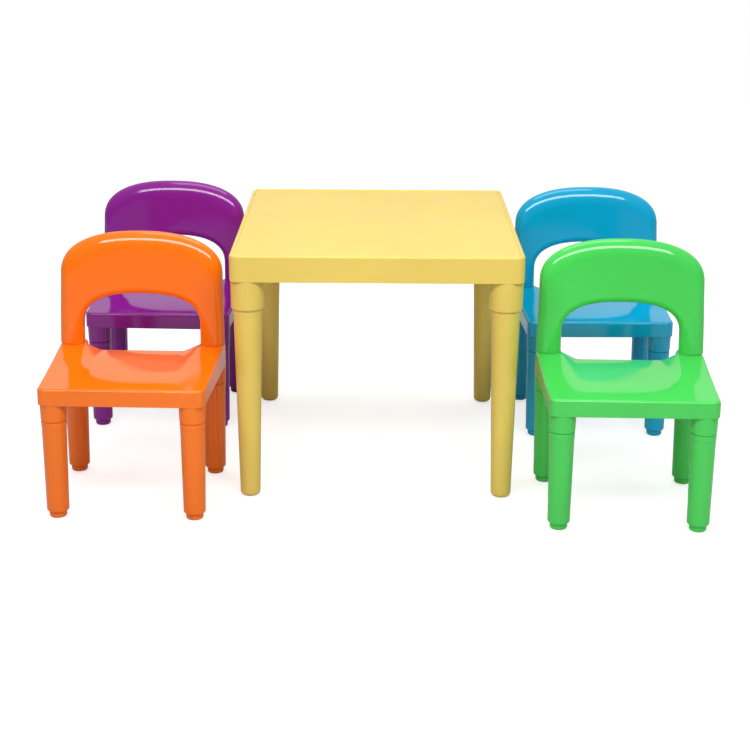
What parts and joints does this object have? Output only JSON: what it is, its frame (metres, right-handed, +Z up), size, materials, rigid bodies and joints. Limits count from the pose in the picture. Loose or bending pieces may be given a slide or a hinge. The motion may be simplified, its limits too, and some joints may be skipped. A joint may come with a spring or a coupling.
{
  "type": "kids table and chairs",
  "caption": "Low rectangular play table on tapered round legs, with matching small chairs whose arched backrests have an opening, in coloured moulded plastic.",
  "frame": {"origin": "on the floor, under the middle of the whole set", "axes": "+X to the right along the row of chairs and table, +Y to the rear, +Z up; the chairs face -Y"},
  "size_m": [1.1639, 0.7725, 0.456],
  "materials": {
    "yellow_plastic": "satin",
    "orange_plastic": "glossy",
    "purple_plastic": "glossy",
    "blue_plastic": "glossy",
    "green_plastic": "glossy"
  },
  "bodies": {
    "table": {"table_top": "yellow_plastic", "table_leg_front_left": "yellow_plastic", "table_leg_front_right": "yellow_plastic", "table_leg_rear_left": "yellow_plastic", "table_leg_rear_right": "yellow_plastic"},
    "orange_chair": {"orange_seat": "orange_plastic", "orange_backrest": "orange_plastic", "orange_leg_front_left": "orange_plastic", "orange_leg_front_right": "orange_plastic", "orange_leg_rear_left": "orange_plastic", "orange_leg_rear_right": "orange_plastic"},
    "purple_chair": {"purple_seat": "purple_plastic", "purple_backrest": "purple_plastic", "purple_leg_front_left": "purple_plastic", "purple_leg_front_right": "purple_plastic", "purple_leg_rear_left": "purple_plastic", "purple_leg_rear_right": "purple_plastic"},
    "blue_chair": {"blue_seat": "blue_plastic", "blue_backrest": "blue_plastic", "blue_leg_front_left": "blue_plastic", "blue_leg_front_right": "blue_plastic", "blue_leg_rear_left": "blue_plastic", "blue_leg_rear_right": "blue_plastic"},
    "green_chair": {"green_seat": "green_plastic", "green_backrest": "green_plastic", "green_leg_front_left": "green_plastic", "green_leg_front_right": "green_plastic", "green_leg_rear_left": "green_plastic", "green_leg_rear_right": "green_plastic"}
  },
  "joints": [
    {"name": "orange_chair_slide", "type": "slide", "parent": "table", "child": "orange_chair", "axis": [-0.0279, -0.9996, 0], "range_m": [-0.08, 0.2]},
    {"name": "purple_chair_slide", "type": "slide", "parent": "table", "child": "purple_chair", "axis": [0.0349, 0.9994, 0], "range_m": [-0.08, 0.2]},
    {"name": "blue_chair_slide", "type": "slide", "parent": "table", "child": "blue_chair", "axis": [-0.0175, 0.9998, 0], "range_m": [-0.08, 0.2]},
    {"name": "green_chair_slide", "type": "slide", "parent": "table", "child": "green_chair", "axis": [-0.0244, -0.9997, 0], "range_m": [-0.08, 0.2]}
  ]
}
